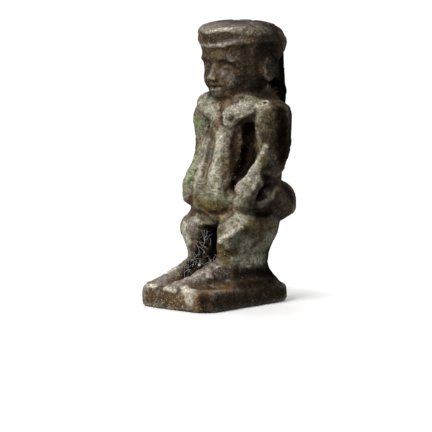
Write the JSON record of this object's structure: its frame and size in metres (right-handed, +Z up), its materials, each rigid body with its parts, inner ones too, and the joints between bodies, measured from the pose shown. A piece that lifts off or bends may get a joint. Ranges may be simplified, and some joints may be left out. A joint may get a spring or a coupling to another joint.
{
  "type": "faience amulet",
  "caption": "Small glazed figure amulet: a squat bow-legged dwarf god in a flat cap, hands on hips, moulded in one with its plinth and pierced behind the neck for a cord.",
  "frame": {"origin": "middle of the plinth's flat underside", "axes": "+Z up, the figure faces -Y, +X is the figure's own left"},
  "size_m": [0.0138, 0.0168, 0.0311],
  "materials": {
    "glaze": "worn dark olive-brown glaze with green and buff patches, satin"
  },
  "bodies": {
    "root": {"amulet": "glaze"}
  },
  "joints": []
}
